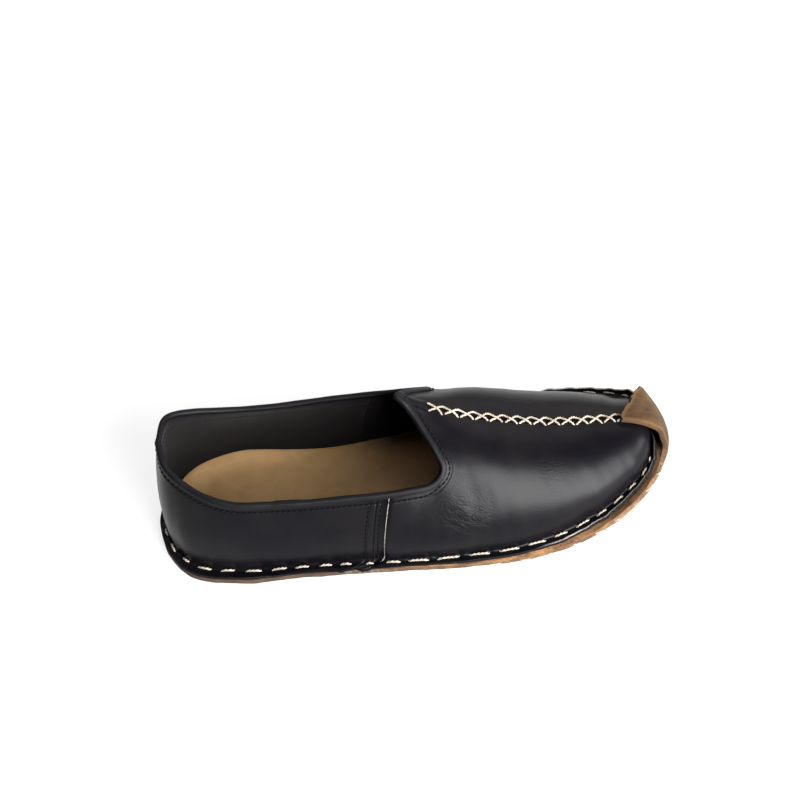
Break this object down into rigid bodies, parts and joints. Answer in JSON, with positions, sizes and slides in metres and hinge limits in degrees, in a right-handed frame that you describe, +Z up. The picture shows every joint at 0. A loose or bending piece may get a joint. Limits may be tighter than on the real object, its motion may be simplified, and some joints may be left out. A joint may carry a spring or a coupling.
{
  "type": "slip-on shoe",
  "caption": "Hand-sewn leather slip-on for the right foot: hollow upper with a pointed throat and bound collar, flat sole folded back over the toe as a tab, natural leather insole.",
  "frame": {"origin": "middle of the footprint's box, on the floor under the sole", "axes": "+X to the toe, +Y to the inner side of the foot, +Z up"},
  "size_m": [0.2826, 0.109, 0.0809],
  "materials": {
    "sole_leather": "raw tan leather, brushed nap on the folded tab",
    "insole_leather": "natural undyed leather, smooth and matt",
    "upper_leather": "black smooth leather, soft sheen",
    "binding_leather": "black thin folded leather, soft sheen"
  },
  "bodies": {
    "root": {"outsole": "sole_leather", "insole": "insole_leather", "upper": "upper_leather", "collar_binding": "binding_leather"}
  },
  "joints": []
}
